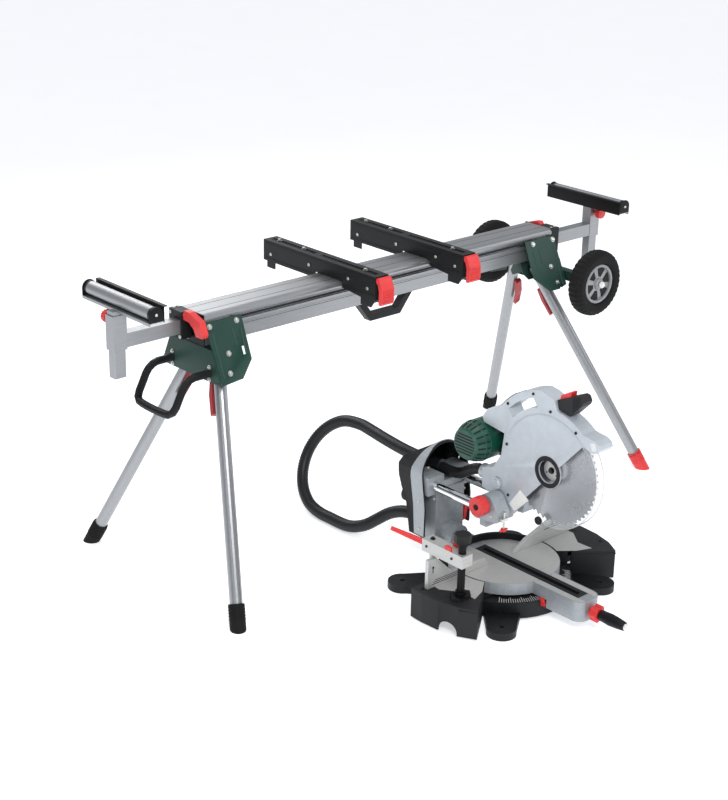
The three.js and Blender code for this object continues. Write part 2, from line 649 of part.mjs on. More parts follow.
function clampSpindle() {
  const { x, y } = CLAMP;
  const plate = Array.from({ length: 6 }, (_, i) => {
    const angle = (i * Math.PI) / 3;
    return [x + 36 * Math.cos(angle), y + 26 * Math.sin(angle)];
  });
  return join(
    prism('z', plate, TABLE.z + GAP, 101),
    disc('z', [x, y], 15, 100, 112, 20),
    disc('z', [x, y], 11, 101, 262, 20),
    disc('z', [x, y], 24, 260, 284, 8),
  );
}

function clampLever() {
  const { x, rod: rodY } = CLAMP;
  const face = rodY + 22 + GAP;
  const boss = disc('y', [x, 204], 11, face, face + 10, 16);
  return join(boss, rod([x - 2, face + 6, 205], [x - 56, 302, 236], 9, 6, 14));
}

function dustHose() {
  const route = [[0, 263, 335], [0, 290, 333.6], [0, 335, 325], [0, 385, 306], [0, 430, 293], [0, 480, 288],
    [0, 540, 288], [3, 600, 288], [10, 660, 288], [20, 720, 287.5], [31, 780, 287], [38, 830, 286],
    [33.3, 903.3, 275.9], [17, 952.7, 247.2], [-7.3, 985.7, 204.2], [-36, 997.3, 153.5],
    [-64.7, 985.7, 102.8],
    [-89, 952.7, 59.8], [-105.3, 903.3, 31.1], [-111, 845, 21], [-111, 800, 21], [-110, 747, 21],
    [-108.2, 715, 23.6], [-102.6, 684, 31.6], [-92.2, 652, 46.7], [-74.9, 621, 71.6], [-57.8, 590, 96.3],
    [-47.3, 558, 111.4], [-41.8, 527, 119.3], [-40, HOSE_PORT.face + 2.5, 122]];
  return tube(route, HOSE_R, 10, 40);
}

// ---------------------------------------------------------------- assembly
const stand = new THREE.Group();

stand.add(part('rail', rail(), aluminium));

const ends = [['left', (geometry) => geometry], ['right', turned]];
for (const [name, place] of ends) {
  stand.add(
    part(`${name}_leg_bracket`, place(legBracket()), greenPaint),
    part(`${name}_end_clamp`, place(endClamp()), blackPaint),
    part(`${name}_extension_lever`, place(extensionLever()), redPlastic),
    part(`${name}_extension`, place(extension()), aluminium),
    part(`${name}_support_post`, place(supportPost()), aluminium),
    part(`${name}_roller`, place(roller()), aluminium),
    part(`${name}_height_knob`, place(heightKnob()), redPlastic),
  );
}

for (const [name, right, front] of [
  ['left_front', false, true],
  ['left_back', false, false],
  ['right_front', true, true],
  ['right_back', true, false],
]) {
  const line = legLine(right, front);
  const adjustable = right && front;
  stand.add(
    part(`${name}_leg`, leg(line, adjustable), aluminium),
    adjustable ? part(`${name}_foot`, adjustableFoot(line), redPlastic)
      : part(`${name}_foot`, rubberFoot(line), rubber),
    part(`${name}_latch`, latch(line, front), darkRed),
  );
}

for (const [name, x] of [['left', ARM.left], ['right', ARM.right]]) {
  stand.add(
    part(`${name}_saw_arm`, sawArm(x), blackPaint),
    part(`${name}_arm_lever`, armLever(x), redPlastic),
  );
}

stand.add(
  part('rail_grip', railGrip(), blackPlastic),
  part('carry_handle', carryHandle(), blackPlastic),
  part('wheel_beam', wheelBeam(), greenPaint),
);

for (const [name, side] of [['front', -1], ['back', 1]]) {
  stand.add(part(`${name}_tyre`, tyre(side), rubber), part(`${name}_rim`, rim(side), greyPlastic));
}

const saw = new THREE.Group();
saw.position.set(SAW_AT.x, SAW_AT.y, 0);
saw.scale.setScalar(SAW_SCALE);
saw.add(
  part('saw_base', sawBase(), blackPlastic),
  part('fence', fence(), machined),
  part('turntable', turntable(), castGrey),
  part('table_insert', tableInsert(), blackPlastic),
  part('mitre_grip', mitreGrip(), redPlastic),
  part('tilt_column', tiltColumn(), castGrey),
  part('rear_hood', rearHood(), blackPlastic),
  part('tilt_lever', tiltLever(), redPlastic),
  part('near_slide_tube', slideTube(-1), chrome),
  part('far_slide_tube', slideTube(1), chrome),
  part('carriage', carriage(), castGrey),
  part('slide_lock_knob', slideKnob(), redPlastic),
  part('upper_guard', upperGuard(), silverPaint),
  part('motor_housing', motorHousing(), motorGreen),
  part('blade', blade(), bladeSteel),
  part('lower_guard', lowerGuard(), clearPlastic),
  part('head_handle', headHandle(), blackPlastic),
  part('trigger', trigger(), redPlastic),
  part('clamp_arm', clampArm(), machined),
  part('clamp_spindle', clampSpindle(), blackPaint),
  part('clamp_lever', clampLever(), redPlastic),
  part('dust_hose', dustHose(), rubber),
);

// The origin is the middle of the footprint on the floor, measured without the free hose.
const root = new THREE.Group();
root.add(stand, saw);
root.updateMatrixWorld(true);
const bounds = new THREE.Box3();
root.traverse((object) => {
  if (object.isMesh && object.name !== 'dust_hose') bounds.expandByObject(object, true);
});
root.position.set(-(bounds.min.x + bounds.max.x) / 2, -(bounds.min.y + bounds.max.y) / 2, 0);

export default root;
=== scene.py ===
"""Looks of the sliding mitre saw and its folding leg stand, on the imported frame. Lengths are in metres."""
import json
import math

import bmesh
import bpy
from mathutils import Matrix, Vector


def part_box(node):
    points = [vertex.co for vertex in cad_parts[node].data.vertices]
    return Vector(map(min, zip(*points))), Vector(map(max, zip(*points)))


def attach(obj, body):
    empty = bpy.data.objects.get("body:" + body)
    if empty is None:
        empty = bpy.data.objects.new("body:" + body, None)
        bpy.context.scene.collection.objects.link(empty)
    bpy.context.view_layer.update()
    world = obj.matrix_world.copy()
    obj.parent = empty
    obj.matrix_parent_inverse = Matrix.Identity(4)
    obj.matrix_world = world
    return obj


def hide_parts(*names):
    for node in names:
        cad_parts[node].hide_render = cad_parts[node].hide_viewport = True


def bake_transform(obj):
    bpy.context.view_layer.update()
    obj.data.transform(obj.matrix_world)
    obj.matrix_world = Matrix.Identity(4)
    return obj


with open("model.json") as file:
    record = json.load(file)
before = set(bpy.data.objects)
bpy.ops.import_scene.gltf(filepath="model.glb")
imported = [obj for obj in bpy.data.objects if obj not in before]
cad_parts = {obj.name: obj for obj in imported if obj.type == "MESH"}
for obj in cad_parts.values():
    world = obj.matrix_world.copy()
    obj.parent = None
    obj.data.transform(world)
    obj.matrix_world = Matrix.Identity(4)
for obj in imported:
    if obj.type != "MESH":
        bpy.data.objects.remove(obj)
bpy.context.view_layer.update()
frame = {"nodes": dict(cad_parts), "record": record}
joint = {j["name"]: j for j in frame["record"]["behaviour"]["joints"]}

# ------------------------------------------------------------------ places, in millimetres like the CAD
RAIL_LEFT = -774
RAIL_MIDDLE = -34
SLOPE = 0.454  # how far a leg or bracket plate leans out for each millimetre down
PIVOT_Z = 700
LEFT_LEG_X = -718
RIGHT_LEG_X = 650
PLATE = {"x": -780, "out": 62.6, "top": 821, "thick": 4}
ROLLER_AXIS = (-997, 908)
ROLLER_Y = 25
CRADLE_REACH = 166
HEIGHT_KNOB = (-1018, 856)
WHEEL_AXIS = (735, 686)
WHEEL_Y = 240
ARM_TOP = 889

SAW_SCALE = 1.05
BLADE_Z = 425
BLADE_AXIS = (0, BLADE_Z)
TABLE_Y = 165
TABLE_Z = 92
PLATE_LEVEL = (TABLE_Z - 0.2, TABLE_Z + 0.25)
GRIP_AXIS = (0, 60)
LOCK_KNOB = (180, 280)
MOTOR_AXIS = (263, 436)
DEPTH_SCREW = (-58, 121)
HOSE_SOCKET = (0, 335)
SIDE_PORT = (-62, 196)
HOSE_PORT = (-40, 122)
GUARD_FACE = -26  # near side face of the blade guard

UP = Vector((0, 0, 1))
NEAR = Vector((-1, 0, 0))
FAR = Vector((1, 0, 0))

rail_low, rail_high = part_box("rail")
STAND = Vector((rail_low[0] - RAIL_LEFT / 1000, (rail_low[1] + rail_high[1]) / 2, 0))
SAW = Vector(joint["blade_spin"]["pos_m"]) - Vector((0, 0, BLADE_Z / 1000)) * SAW_SCALE


def stand(x, y, z):
    """A place on the stand, from the CAD's millimetres to metres."""
    return STAND + Vector((x, y, z)) / 1000


def turned(x, y, z):
    """The same place on the stand's other end, half a turn round the middle of the rail."""
    return stand(2 * RAIL_MIDDLE - x, -y, z)


def saw(x, y, z):
    """A place on the saw, from the CAD's millimetres to metres."""
    return SAW + Vector((x, y, z)) * SAW_SCALE / 1000


# ------------------------------------------------------------------ camera and light
def camera():
    yaw, pitch, roll = (math.radians(a) for a in (42.42, 21.43, 1.17))
    forward = Vector((math.sin(yaw) * math.cos(pitch), math.cos(yaw) * math.cos(pitch), -math.sin(pitch)))
    level = Vector((math.cos(yaw), -math.sin(yaw), 0))
    upright = level.cross(forward)
    right = level * math.cos(roll) + upright * math.sin(roll)
    up = upright * math.cos(roll) - level * math.sin(roll)
    data = bpy.data.cameras.new("view")
    data.lens = 75.96
    data.sensor_width = 36
    data.clip_end = 60
    obj = bpy.data.objects.new("view", data)
    obj.matrix_world = Matrix((right, up, -forward)).transposed().to_4x4()
    obj.location = stand(-3529, -3762, 2391)
    bpy.context.collection.objects.link(obj)
    bpy.context.scene.camera = obj


def area_light(name, place, aim, size, watts):
    data = bpy.data.lights.new(name, "AREA")
    data.shape = "RECTANGLE"
    data.size, data.size_y = size
    data.energy = watts
    obj = bpy.data.objects.new(name, data)
    obj.location = place
    obj.rotation_euler = (Vector(aim) - Vector(place)).to_track_quat("-Z", "Y").to_euler()
    bpy.context.collection.objects.link(obj)


def light():
    area_light("key", (-2.4, -3.2, 3.6), (0, 0, 0.4), (1.6, 1.2), 110)
    area_light("fill", (3.4, -2.2, 2.4), (0, 0, 0.5), (2.4, 2.4), 22)
    area_light("back", (0.5, 3.6, 2.8), (0, 0, 0.6), (3.0, 1.6), 50)
    area_light("top", (0, 0, 4.2), (0, 0, 0), (2.4, 2.4), 30)
    world = bpy.data.worlds.new("studio")
    world.use_nodes = True
    background = world.node_tree.nodes["Background"]
    background.inputs["Color"].default_value = (0.93, 0.95, 1, 1)
    background.inputs["Strength"].default_value = 0.5
    bpy.context.scene.world = world
    bpy.context.scene.view_settings.view_transform = "Standard"


# ------------------------------------------------------------------ materials
def node(tree, kind, **values):
    made = tree.nodes.new(kind)
    for key, value in values.items():
        if hasattr(made, key):
            setattr(made, key, value)
        else:
            made.inputs[key].default_value = value
    return made


def drifting_colour(tree, noise, colour, vary):
    """A tint that goes from a darker to a lighter shade with a noise."""
    tint = node(tree, "ShaderNodeValToRGB")
    dark, pale = tint.color_ramp.elements
    dark.position = 0.3
    pale.position = 0.72
    dark.color = (*[c * (1 - vary) for c in colour], 1)
    pale.color = (*[min(1, c * (1 + vary)) for c in colour], 1)
    tree.links.new(noise.outputs["Fac"], tint.inputs["Fac"])
    return tint.outputs["Color"]


def worn_colour(tree, base, colour, wear):
    """Lightens the sharp edges, where the finish rubs off first."""
    edge = node(tree, "ShaderNodeNewGeometry")
    sharp = node(tree, "ShaderNodeMapRange")
    sharp.inputs["From Min"].default_value = 0.52
    sharp.inputs["From Max"].default_value = 0.62
    sharp.inputs["To Max"].default_value = wear
    tree.links.new(edge.outputs["Pointiness"], sharp.inputs["Value"])
    worn = node(tree, "ShaderNodeMixRGB")
    worn.inputs["Color2"].default_value = (*[min(1, c * 1.6 + 0.08) for c in colour], 1)
    tree.links.new(sharp.outputs["Result"], worn.inputs["Fac"])
    tree.links.new(base, worn.inputs["Color1"])
    return worn.outputs["Color"]


def drifting_gloss(tree, noise, roughness):
    gloss = node(tree, "ShaderNodeMapRange")
    gloss.inputs["To Min"].default_value = roughness * 0.82
    gloss.inputs["To Max"].default_value = min(1, roughness * 1.2)
    tree.links.new(noise.outputs["Fac"], gloss.inputs["Value"])
    return gloss.outputs["Result"]


def fine_relief(tree, scale, fine, bump):
    pores = node(tree, "ShaderNodeTexNoise", Scale=fine, Detail=3.0)
    tree.links.new(scale.outputs["Vector"], pores.inputs["Vector"])
    relief = node(tree, "ShaderNodeBump", Strength=bump, Distance=0.0006)
    tree.links.new(pores.outputs["Fac"], relief.inputs["Height"])
    return relief.outputs["Normal"]


def surface(name, colour, roughness, metallic=0.0, vary=0.12, grain=60, stretch=(1, 1, 1), bump=0.1, fine=900,
            wear=0.0, shine=0.5, alpha=1.0):
    """A material with colour and gloss that drift over the surface, fine bump, and lighter worn edges."""
    material = bpy.data.materials.new(name)
    material.use_nodes = True
    tree = material.node_tree
    shader = tree.nodes["Principled BSDF"]
    shader.inputs["Metallic"].default_value = metallic
    shader.inputs["Specular IOR Level"].default_value = shine
    shader.inputs["Alpha"].default_value = alpha
    place = node(tree, "ShaderNodeTexCoord")
    scale = node(tree, "ShaderNodeMapping")
    scale.inputs["Scale"].default_value = stretch
    tree.links.new(place.outputs["Object"], scale.inputs["Vector"])
    drift = node(tree, "ShaderNodeTexNoise", Scale=grain, Detail=4.0, Roughness=0.6)
    tree.links.new(scale.outputs["Vector"], drift.inputs["Vector"])
    shade = drifting_colour(tree, drift, colour, vary)
    if wear:
        shade = worn_colour(tree, shade, colour, wear)
    tree.links.new(shade, shader.inputs["Base Color"])
    tree.links.new(drifting_gloss(tree, drift, roughness), shader.inputs["Roughness"])
    tree.links.new(fine_relief(tree, scale, fine, bump), shader.inputs["Normal"])
    return material


def paint(colour, roughness, **more):
    return {"colour": colour, "roughness": roughness, **more}


RECIPES = {
    "anodised_aluminium": paint((0.37, 0.38, 0.39), 0.38, metallic=0.85, vary=0.07, grain=40,
                                stretch=(0.25, 6, 6), bump=0.12, fine=500),
    "leg_aluminium": paint((0.37, 0.38, 0.39), 0.34, metallic=0.85, vary=0.07, grain=40,
                           stretch=(5, 5, 0.3), bump=0.1, fine=500),
    "green_coat": paint((0.004, 0.036, 0.025), 0.42, vary=0.15, grain=45, bump=0.25, fine=1400,
                        wear=0.4, shine=0.2),
    "black_coat": paint((0.003, 0.0033, 0.0036), 0.42, vary=0.25, grain=45, bump=0.25, fine=1300,
                        wear=0.2, shine=0.18),
    "red_plastic": paint((0.72, 0.028, 0.028), 0.34, vary=0.1, grain=35, bump=0.12, fine=1100, wear=0.15),
    "dark_red_plastic": paint((0.34, 0.012, 0.018), 0.42, grain=35, bump=0.2, fine=1100, wear=0.2),
    "foot_rubber": paint((0.006, 0.006, 0.006), 0.72, vary=0.3, bump=0.35, fine=700, shine=0.25),
    "black_plastic": paint((0.004, 0.0048, 0.0065), 0.46, vary=0.22, grain=50, bump=0.3, fine=1600,
                           wear=0.2, shine=0.2),
    "tyre_rubber": paint((0.007, 0.007, 0.007), 0.75, vary=0.3, grain=55, bump=0.4, fine=800, shine=0.25),
    "grey_plastic": paint((0.30, 0.31, 0.32), 0.42, vary=0.1, grain=50, bump=0.2, fine=1200, wear=0.3),
    "machined_aluminium": paint((0.56, 0.56, 0.545), 0.38, metallic=0.45, vary=0.09,
                                stretch=(0.5, 6, 6), bump=0.2, fine=700),
    "cast_aluminium": paint((0.30, 0.325, 0.345), 0.42, metallic=0.3, grain=70, bump=0.4, fine=800,
                            wear=0.35),
    "polished_chrome": paint((0.84, 0.85, 0.86), 0.07, metallic=1.0, vary=0.03, grain=20, bump=0.02,
                             fine=300),
    "silver_coat": paint((0.43, 0.465, 0.50), 0.32, metallic=0.25, vary=0.07, grain=40, bump=0.18,
                         fine=1200, wear=0.4),
    "green_plastic": paint((0.005, 0.070, 0.043), 0.34, grain=40, bump=0.2, fine=1200, wear=0.2),
    "blade_steel": paint((0.36, 0.37, 0.39), 0.28, metallic=0.85, vary=0.06, grain=9, bump=0.04, fine=200),
    "smoky_clear": paint((0.80, 0.84, 0.88), 0.08, vary=0.05, grain=30, bump=0.04, fine=400, alpha=0.1),
    "hose_rubber": paint((0.009, 0.0095, 0.011), 0.42, vary=0.25, grain=40, bump=0.2, wear=0.2, shine=0.35),
    "zinc_bolt": paint((0.66, 0.66, 0.62), 0.3, metallic=1.0, grain=160, bump=0.15, fine=1500),
    "black_bolt": paint((0.03, 0.03, 0.033), 0.35, metallic=0.8, vary=0.2, grain=160, bump=0.15, fine=1500),
    # painted shade: a near-black colour laid into grooves, gaps, vent slots, openings and recesses where only
    # shade falls
    "painted_shade_black": paint((0.006, 0.006, 0.007), 0.8, vary=0.2, grain=90),
    "scale_plate": paint((0.72, 0.73, 0.73), 0.3, metallic=0.6, vary=0.05, bump=0.08),
    "white_mark": paint((0.85, 0.85, 0.82), 0.5, vary=0.05),
}
LOOK = {name: surface(name, **recipe) for name, recipe in RECIPES.items()}
CORNERS = ("left_front", "left_back", "right_front", "right_back")
NODE_LOOK = {f"{corner}_leg": "leg_aluminium" for corner in CORNERS}


def round_edges(obj, width, angle, harden=False):
    edge = obj.modifiers.new("edge", "BEVEL")
    edge.width = width
    edge.segments = 2
    edge.limit_method = "ANGLE"
    edge.angle_limit = math.radians(angle)
    edge.harden_normals = harden


def shade_smooth(obj):
    for polygon in obj.data.polygons:
        polygon.use_smooth = True


def dress_cad():
    """Gives every carried-over node its material, a small edge radius and smooth shading."""
    for part in frame["record"]["subparts"]:
        name = part["node"]
        obj = frame["nodes"][name]
        obj.data.materials.clear()
        obj.data.materials.append(LOOK[NODE_LOOK.get(name, part["material_slot"])])
        round_edges(obj, 0.0009, 38, harden=True)
        shade_smooth(obj)


# ------------------------------------------------------------------ building pieces
AXES = {
    "x": lambda u, v, w: (w, u, v),
    "y": lambda u, v, w: (u, w, v),
    "z": lambda u, v, w: (u, v, w),
}


def arc(u, v, r, start, end, steps):
    """Points on an arc, with angles in degrees."""
    angles = [math.radians(start + (end - start) * i / steps) for i in range(steps + 1)]
    return [(u + r * math.cos(a), v + r * math.sin(a)) for a in angles]


def loft(bm, rings, closed=False):
    """Skins a row of equal rings of points, with caps unless the row closes on itself."""
    rows = [[bm.verts.new(p) for p in ring] for ring in rings]
    count = len(rows[0])
    pairs = list(zip(rows, rows[1:]))
    if closed:
        pairs.append((rows[-1], rows[0]))
    for low, high in pairs:
        for i in range(count):
            j = (i + 1) % count
            bm.faces.new((low[i], low[j], high[j], high[i]))
    if not closed:
        bm.faces.new(rows[0][::-1])
        bm.faces.new(rows[-1])


def slab(bm, axis, outline, start, end, frame_of=saw):
    """An outline pushed along an axis, all in millimetres."""
    rings = [[frame_of(*AXES[axis](u, v, w)) for u, v in outline] for w in (start, end)]
    loft(bm, rings)


def block(bm, xs, ys, zs, frame_of=saw):
    """A box between two values along each axis."""
    outline = [(xs[0], ys[0]), (xs[1], ys[0]), (xs[1], ys[1]), (xs[0], ys[1])]
    slab(bm, "z", outline, zs[0], zs[1], frame_of)


def spin(bm, axis, centre, profile, segments=32, frame_of=saw):
    """Turns a closed (radius, along) profile round an axis through centre."""
    rings = []
    for i in range(segments):
        angle = 2 * math.pi * i / segments
        ring = [
            frame_of(*AXES[axis](centre[0] + r * math.cos(angle), centre[1] + r * math.sin(angle), w))
            for r, w in profile
        ]
        rings.append(ring)
    loft(bm, rings, closed=True)


def cross_frame(direction):
    """A direction and two more at right angles to it, all of length one."""
    along = Vector(direction).normalized()
    side = along.orthogonal().normalized()
    return along, side, along.cross(side)


def circle(place, side, other, r, count):
    """Points round a place given in metres, at a radius in millimetres."""
    angles = [2 * math.pi * i / count for i in range(count)]
    return [place + (side * math.cos(a) + other * math.sin(a)) * r / 1000 for a in angles]


def post(bm, start, end, r, sides=16, r_end=None):
    """A round bar between two points given in metres."""
    _, side, other = cross_frame(end - start)
    far_r = r if r_end is None else r_end
    loft(bm, [circle(start, side, other, r, sides), circle(end, side, other, far_r, sides)])


def hex_bolt(bm, place, direction, size=6.5):
    """A washer and a hexagon head that stand on a face."""
    along = Vector(direction).normalized()
    washer = place + along * 0.0012
    head = place + along * (0.0012 + size * 0.0007)
    tip = place + along * (0.0016 + size * 0.0008)
    post(bm, place, washer, size * 1.35, 20)
    post(bm, washer, head, size, 6)
    post(bm, head, tip, size * 0.8, 12, size * 0.6)


def cap_screw(bm, place, direction, r=4.5):
    """A round screw head with a sunken socket."""
    along, side, other = cross_frame(direction)
    height = r * 0.0006
    profile = ((1, 0), (1, 0.7), (0.85, 1), (0.48, 1), (0.42, 0.25))
    loft(bm, [circle(place + along * height * up, side, other, r * wide, 18) for wide, up in profile])


def swept(bm, points, r, sides=14):
    """A round tube along a row of points in metres, which keeps its section from twisting."""
    side = None
    rings = []
    for i, point in enumerate(points):
        ahead = points[min(i + 1, len(points) - 1)] - points[max(i - 1, 0)]
        along = ahead.normalized()
        if side is None:
            side = along.orthogonal().normalized()
        side = (side - along * side.dot(along)).normalized()
        other = along.cross(side)
        rings.append(circle(point, side, other, r(i) if callable(r) else r, sides))
    loft(bm, rings)


def smooth_path(points, steps):
    """Centripetal Catmull-Rom points through the given ones, evenly spaced."""
    guide = [points[0] * 2 - points[1], *points, points[-1] * 2 - points[-2]]
    fine = []
    for p0, p1, p2, p3 in zip(guide, guide[1:], guide[2:], guide[3:]):
        t1 = (p1 - p0).length ** 0.5
        t2 = t1 + (p2 - p1).length ** 0.5
        t3 = t2 + (p3 - p2).length ** 0.5
        for i in range(24):
            t = t1 + (t2 - t1) * i / 24
            a1 = p0.lerp(p1, t / t1)
            a2 = p1.lerp(p2, (t - t1) / (t2 - t1))
            a3 = p2.lerp(p3, (t - t2) / (t3 - t2))
            b1 = a1.lerp(a2, t / t2)
            b2 = a2.lerp(a3, (t - t1) / (t3 - t1))
            fine.append(b1.lerp(b2, (t - t1) / (t2 - t1)))
    fine.append(points[-1])
    lengths = [0.0]
    for a, b in zip(fine, fine[1:]):
        lengths.append(lengths[-1] + (b - a).length)
    even = []
    k = 0
    for i in range(steps + 1):
        goal = lengths[-1] * i / steps
        while k < len(lengths) - 2 and lengths[k + 1] < goal:
            k += 1
        span = lengths[k + 1] - lengths[k]
        even.append(fine[k].lerp(fine[k + 1], (goal - lengths[k]) / span if span else 0))
    return even, lengths[-1]


def piece(name, build, look, body, bevel=0.0, replaces=(), angle=34):
    """Makes one object from a function that fills a bmesh, and lets it ride on a body, or on none yet."""
    bm = bmesh.new()
    build(bm)
    bmesh.ops.recalc_face_normals(bm, faces=bm.faces)
    mesh = bpy.data.meshes.new(name)
    bm.to_mesh(mesh)
    bm.free()
    obj = bpy.data.objects.new(name, mesh)
    bpy.context.collection.objects.link(obj)
    mesh.materials.append(LOOK[look])
    shade_smooth(obj)
    mesh.set_sharp_from_angle(angle=math.radians(angle))
    if bevel:
        round_edges(obj, bevel, 35)
    if body is not None:
        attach(obj, body)
    if replaces:
        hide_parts(*replaces)
    return obj


# ------------------------------------------------------------------ dust hose
HOSE_R = 19
HOSE_BACK = [
    (0, 430, 293), (0, 480, 288), (0, 540, 288), (3, 600, 288), (10, 660, 288), (20, 720, 287.5),
    (31, 780, 287), (38, 830, 286), (33.3, 903.3, 275.9), (17, 952.7, 247.2), (-7.3, 985.7, 204.2),
    (-36, 997.3, 153.5),
    (-64.7, 985.7, 102.8), (-89, 952.7, 59.8), (-105.3, 903.3, 31.1), (-111, 845, 21), (-111, 800, 21),
    (-110, 747, 21), (-108.2, 715, 23.6), (-102.6, 684, 31.6), (-92.2, 652, 46.7), (-74.9, 621, 71.6),
    (-57.8, 590, 96.3), (-47.3, 558, 111.4), (-41.8, 527, 119.3), (-40, 492.5, 122),
]
HOSE_FRONT = [(0, 263, 335), (0, 286, 332), (0, 316, 317), (0, 346, 298), (0, 376, 289), (0, 478, 288)]


def ribbed_hose(name, points, steps, body, r, proud):
    """A corrugated tube: the radius rises and falls about once in every centimetre."""
    path, length = smooth_path([saw(*p) for p in points], steps)

    def build(bm):
        swept(bm, path, lambda i: (r - proud * (i % 2)) * SAW_SCALE, 18)

    return piece(name, build, "hose_rubber", body, replaces=("dust_hose",), angle=80), path, length


def dust_hose():
    back, path, length = ribbed_hose("hose_loop", HOSE_BACK, 300, "tilt_column", HOSE_R, 2.2)
    front, _, _ = ribbed_hose("hose_front", HOSE_FRONT, 50, None, HOSE_R - 2.4, 2.0)
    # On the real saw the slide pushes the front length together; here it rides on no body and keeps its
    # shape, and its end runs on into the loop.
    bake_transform(front)


# ------------------------------------------------------------------ stand details
def leaning(z):
    """How far out the leaning bracket plate's outer face is at a height."""
    return PLATE["out"] + (PLATE["top"] - z) * SLOPE + PLATE["thick"]


def bracket_bolts(frame_of):
    def build(bm):
        for x, z in ((-766, 806), (-668, 806), (-725, 726), (-738, 674)):
            for side in (-1, 1):
                place = frame_of(x, side * leaning(z), z)
                tip = frame_of(x, side * (leaning(z) + 1), z + SLOPE)
                hex_bolt(bm, place, tip - place, 6.5)
        for y, z in ((-90, 691), (90, 691), (-90, 653), (90, 653)):
            outward = frame_of(PLATE["x"] - 1, y, z) - frame_of(PLATE["x"], y, z)
            hex_bolt(bm, frame_of(PLATE["x"] - 0.2, y, z), outward, 5)
    return build


def bracket_ribs(frame_of):
    """Pressed stiffening beads of the leaning plates."""
    def build(bm):
        for side in (-1, 1):
            for x0, z0, x1, z1 in ((-762, 788, -762, 664), (-690, 788, -690, 742), (-660, 786, -664, 712)):
                a = frame_of(x0, side * (leaning(z0) - 0.6), z0)
                b = frame_of(x1, side * (leaning(z1) - 0.6), z1)
                post(bm, a, b, 2.6, 12)
    return build


def leg_pivot_bolts(frame_of):
    def build(bm):
        for side in (-1, 1):
            inner = frame_of(LEFT_LEG_X, side * 26, PIVOT_Z + 24 * SLOPE)
            outer = frame_of(LEFT_LEG_X, side * (leaning(670) - 5), 670)
            post(bm, inner, outer, 5, 14)
    return build


def clamp_bolts(frame_of):
    def build(bm):
        for y, z in ((53, 830), (53, 765), (8, 764)):
            place = frame_of(-810, y, z)
            cap_screw(bm, place, frame_of(-811, y, z) - place, 5.5)
        for x in (-800, -784):
            place = frame_of(x, 50, 840)
            cap_screw(bm, place, UP, 4.5)
    return build


def lever_ribs(frame_of):
    """The finger ribs of an extension lever and the roll at its hinge."""
    def build(bm):
        for y, z in ((-62, 799), (-69, 794), (-76, 790), (-83, 787)):
            post(bm, frame_of(-807, y, z), frame_of(-785, y, z), 1.6, 10)
        post(bm, frame_of(-808.5, -10, 833), frame_of(-784, -10, 833), 6, 20)
    return build


def arm_details(x):
    def build(bm):
        for side in (-1, 1):
            face = x + side * 27
            out = Vector((side, 0, 0))
            for y, z in ((-92, 856), (92, 856), (-180, 846), (280, 846)):
                cap_screw(bm, stand(face, y, z), out, 5)
        for y in (-140, 150, 270):
            hex_bolt(bm, stand(x, y, ARM_TOP), UP, 6)
    return build


def arm_slot_edges(x):
    def build(bm):
        for y0, y1 in ((-193, 63), (92, 303)):
            for side in (-1, 1):
                width = sorted((x + side * 4, x + side * 6.5))
                block(bm, width, (y0, y1), (ARM_TOP - 0.4, ARM_TOP + 1.2), stand)
    return build


def arm_ribs(x):
    """Raised ribs along both sides of an arm."""
    def build(bm):
        for side in (-1, 1):
            width = sorted((x + side * 26.6, x + side * 28.2))
            for ys, zs in (((-208, -70), (826, 832)), ((70, 312), (826, 832)), ((-208, 312), (877, 882))):
                block(bm, width, ys, zs, stand)
    return build


def lever_grip(x):
    """Finger ribs across an arm lever."""
    def build(bm):
        for i in range(8):
            z = 811 + 5.5 * i
            block(bm, (x - 21, x + 21), (-245.2, -242.6), (z, z + 2.6), stand)
    return build


def tyre_piece(side):
    """A tyre with a rounded tread, cross grooves and flat bands on its side walls."""
    half = [(69, 20), (74, 27), (84, 29.5), (96, 29.5), (104, 25), (111, 17), (113, 8)]
    profile = [(r, -along) for r, along in half] + half[::-1]
    segments = 180
    tread_r = 103

    def build(bm):
        rings = []
        for i in range(segments):
            angle = 2 * math.pi * i / segments
            groove = 2.6 if i % 5 in (0, 1) else 0
            ring = []
            for radius, along in profile:
                r = radius - groove if radius > tread_r else radius
                x = WHEEL_AXIS[0] + r * math.cos(angle)
                z = WHEEL_AXIS[1] + r * math.sin(angle)
                ring.append(stand(x, side * WHEEL_Y + along, z))
            rings.append(ring)
        loft(bm, rings, closed=True)
    return build


def rim_piece(side):
    """A moulded rim: outer ring, hub and the disc between them."""
    y = side * WHEEL_Y

    def build(bm):
        for profile in (
            [(58, -22), (62, -25), (67.4, -22), (67.4, 22), (62, 25), (58, 22)],
            [(8.6, -27), (15, -27), (19, -22), (19, 22), (15, 27), (8.6, 27)],
            [(18, -16), (60, -13), (60, 13), (18, 16)],
        ):
            spin(bm, "y", WHEEL_AXIS, [(r, y + a) for r, a in profile], 64, stand)
    return build


def rim_window_shade(side):
    """Painted shade for the wedge openings between the six spokes: dark wedge plates on both faces of the
    disc.
    """
    def build(bm):
        for face in (-1, 1):
            for k in range(6):
                middle = 60 * k + 15
                inner = arc(*WHEEL_AXIS, 25, middle - 13, middle + 13, 4)
                outer = arc(*WHEEL_AXIS, 56, middle + 19, middle - 19, 8)
                start, end = sorted((side * WHEEL_Y + face * 12, side * WHEEL_Y + face * 16.4))
                slab(bm, "y", inner + outer, start, end, stand)
    return build


def hub_caps(side):
    def build(bm):
        start, end = sorted((side * 270, side * 276))
        spin(bm, "y", WHEEL_AXIS, [(1, start), (11, start), (11, end), (1, end)], 24, stand)
        hex_bolt(bm, stand(WHEEL_AXIS[0], side * 274, WHEEL_AXIS[1]), Vector((0, side, 0)), 8)
    return build


def roller_caps(frame_of):
    def build(bm):
        for inward in (1, -1):
            y = ROLLER_Y - inward * 160.3
            lip = y + inward * 1
            inner = y + inward * 9
            profile = [(7, y), (19.8, y), (20.6, lip), (20.6, inner), (7, inner)]
            spin(bm, "y", ROLLER_AXIS, profile, 36, frame_of)
    return build


